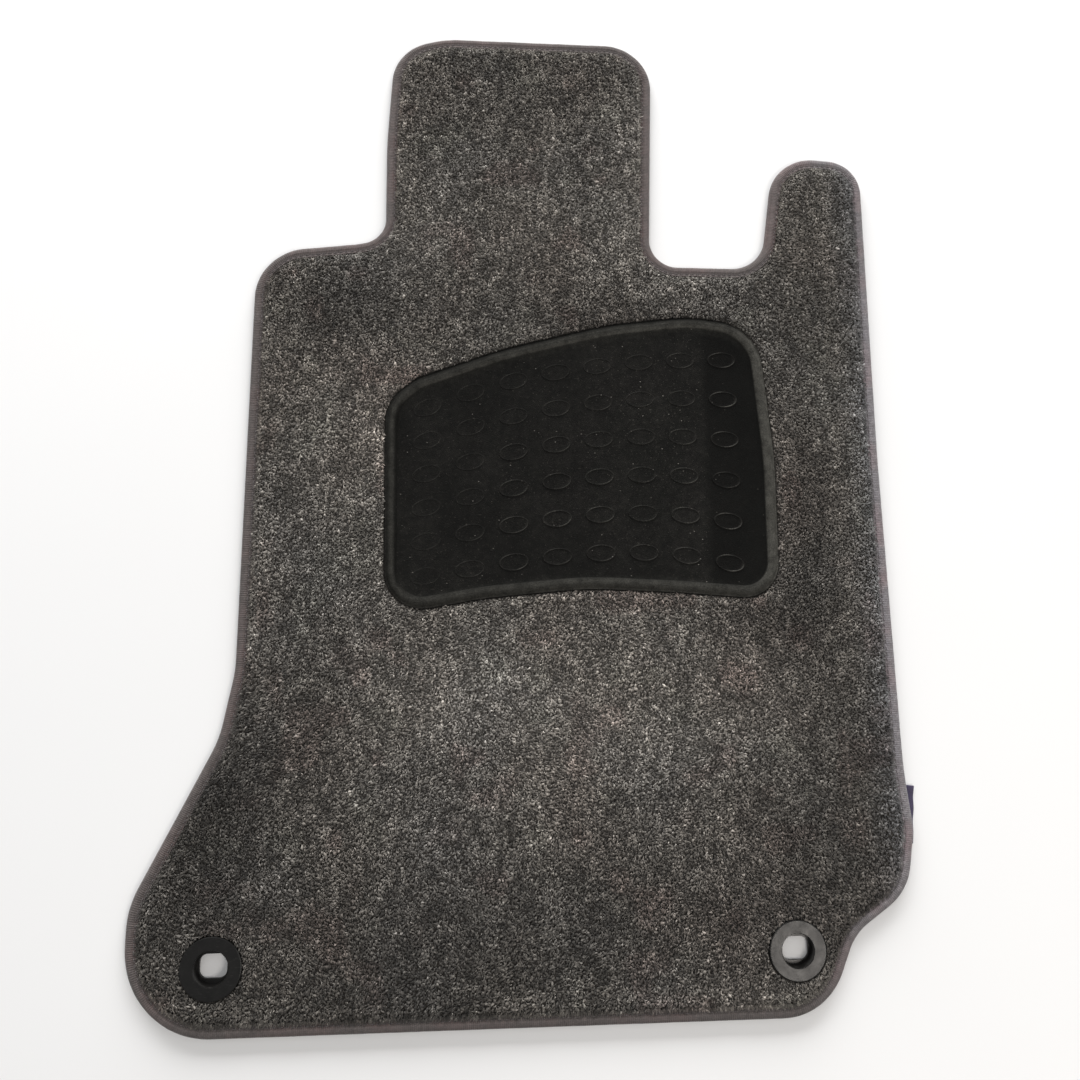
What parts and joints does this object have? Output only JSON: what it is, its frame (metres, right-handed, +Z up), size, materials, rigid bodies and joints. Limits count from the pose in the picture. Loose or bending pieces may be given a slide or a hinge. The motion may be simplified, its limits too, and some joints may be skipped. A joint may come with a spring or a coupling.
{
  "type": "car floor mat",
  "caption": "Driver's side car floor mat: cut-pile carpet with sewn edge binding, welded rubber heel pad with oval studs, and snap-in fixing eyelets.",
  "frame": {"origin": "middle of the bounding box of the underside, on the plane that the mat lies on", "axes": "+Z up out of the pile, +Y to the front of the car (footrest tab), +X to the driver's right (accelerator notch and side label)"},
  "size_m": [0.5174, 0.7, 0.0084],
  "materials": {
    "pile": "cut pile, charcoal melange",
    "scrim": "woven polypropylene",
    "granulate": "pimpled granulate",
    "binding_tape": "ribbed woven tape",
    "thread": "twisted polyester thread",
    "pad_rubber": "moulded, matt with a fine grain",
    "eyelet_plastic": "satin moulded",
    "label_cloth": "woven ribbon, blank"
  },
  "bodies": {
    "root": {"pile_carpet": "pile", "primary_backing": "scrim", "anti_slip_backing": "granulate", "edge_binding": "binding_tape", "binding_stitches_top": "thread", "binding_stitches_bottom": "thread", "heel_pad": "pad_rubber", "left_eyelet_top": "eyelet_plastic", "left_eyelet_ring": "eyelet_plastic", "right_eyelet_top": "eyelet_plastic", "right_eyelet_ring": "eyelet_plastic", "side_label": "label_cloth"}
  },
  "joints": []
}
